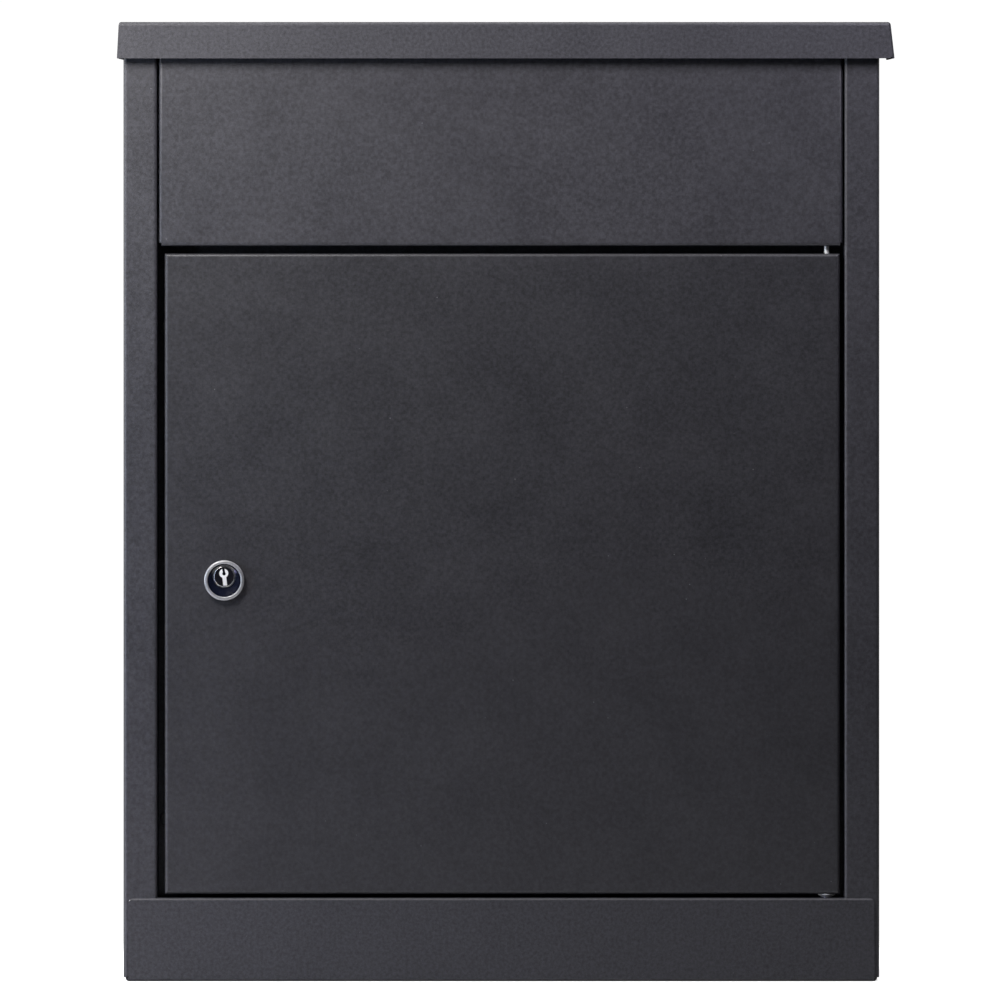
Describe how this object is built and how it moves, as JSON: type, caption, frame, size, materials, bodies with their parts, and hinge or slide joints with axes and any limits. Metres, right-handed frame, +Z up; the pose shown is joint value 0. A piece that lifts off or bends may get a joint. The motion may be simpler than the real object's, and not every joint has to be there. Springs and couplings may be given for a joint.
{
  "type": "parcel drop box",
  "caption": "Folded steel parcel drop box: a rear-hinged lid swings an anti-theft tray through two links, and a lockable front door empties it.",
  "frame": {"origin": "on the floor under the middle of the closed box", "axes": "+Z up, -Y out of the front, +X to the right seen from the front"},
  "size_m": [0.47, 0.34, 0.58],
  "materials": {
    "powder": "fine textured anthracite powder coat",
    "zinc": "bright zinc plate",
    "chrome": "polished",
    "nylon": "natural white nylon",
    "rubber": "black, matt",
    "navy": "very dark blue, glossy"
  },
  "bodies": {
    "cabinet": {"left_side_panel": "powder", "right_side_panel": "powder", "back_panel": "powder", "base_tray": "powder", "front_panel": "powder", "head_stop": "powder", "latch_keeper": "zinc", "hinge_body_leaf": "zinc", "hinge_pin": "zinc", "hinge_rivets": "zinc", "rod_sockets": "zinc", "tray_rod": "zinc", "lid_bumpers": "rubber", "door_bumpers": "rubber", "lower_door_pin": "zinc"},
    "lid": {"lid_cap": "powder", "lid_stiffener": "powder", "hinge_lid_leaf": "zinc", "lid_crank_left": "zinc", "lid_crank_right": "zinc", "lid_link_pins": "zinc"},
    "tray": {"tray_plate": "powder", "tray_crank_left": "zinc", "tray_crank_right": "zinc", "tray_bushes": "nylon", "tray_link_pins": "zinc", "tray_rivets": "zinc"},
    "left_link": {"link_left": "zinc", "washers_left": "nylon"},
    "right_link": {"link_right": "zinc", "washers_right": "nylon"},
    "door": {"door_panel": "powder", "door_stiffener": "powder", "upper_pin_bracket": "zinc", "lower_pin_bracket": "zinc", "upper_door_pin": "zinc", "upper_pin_clip": "zinc", "door_bush": "nylon", "lock_housing": "chrome", "lock_dish": "navy", "lock_nut": "zinc"},
    "lock": {"lock_plug": "zinc", "lock_cam": "zinc", "cam_washer": "zinc", "cam_screw": "zinc"}
  },
  "joints": [
    {"name": "lid_hinge", "type": "hinge", "parent": "cabinet", "child": "lid", "pos_m": [0, 0.1619, 0.5759], "axis": [-1, 0, 0], "range_deg": [0, 80]},
    {"name": "tray_swing", "type": "hinge", "parent": "cabinet", "child": "tray", "pos_m": [0, 0.15524, 0.44], "axis": [-1, 0, 0], "range_deg": [0, 80]},
    {"name": "left_link_pivot", "type": "hinge", "parent": "lid", "child": "left_link", "pos_m": [0, 0.09429, 0.55778], "axis": [-1, 0, 0], "range_deg": [-80, 0]},
    {"name": "right_link_pivot", "type": "hinge", "parent": "lid", "child": "right_link", "pos_m": [0, 0.09429, 0.55778], "axis": [-1, 0, 0], "range_deg": [-80, 0]},
    {"name": "door_hinge", "type": "hinge", "parent": "cabinet", "child": "door", "pos_m": [0.1967, -0.155, 0.05], "axis": [0, 0, 1], "range_deg": [0, 110]},
    {"name": "lock_turn", "type": "hinge", "parent": "door", "child": "lock", "pos_m": [-0.1676, -0.161, 0.2447], "axis": [0, 1, 0], "range_deg": [0, 90]}
  ],
  "couplings": [
    {"joint": "tray_swing", "follows": "lid_hinge", "ratio": 1},
    {"joint": "left_link_pivot", "follows": "lid_hinge", "ratio": -1},
    {"joint": "right_link_pivot", "follows": "lid_hinge", "ratio": -1}
  ]
}
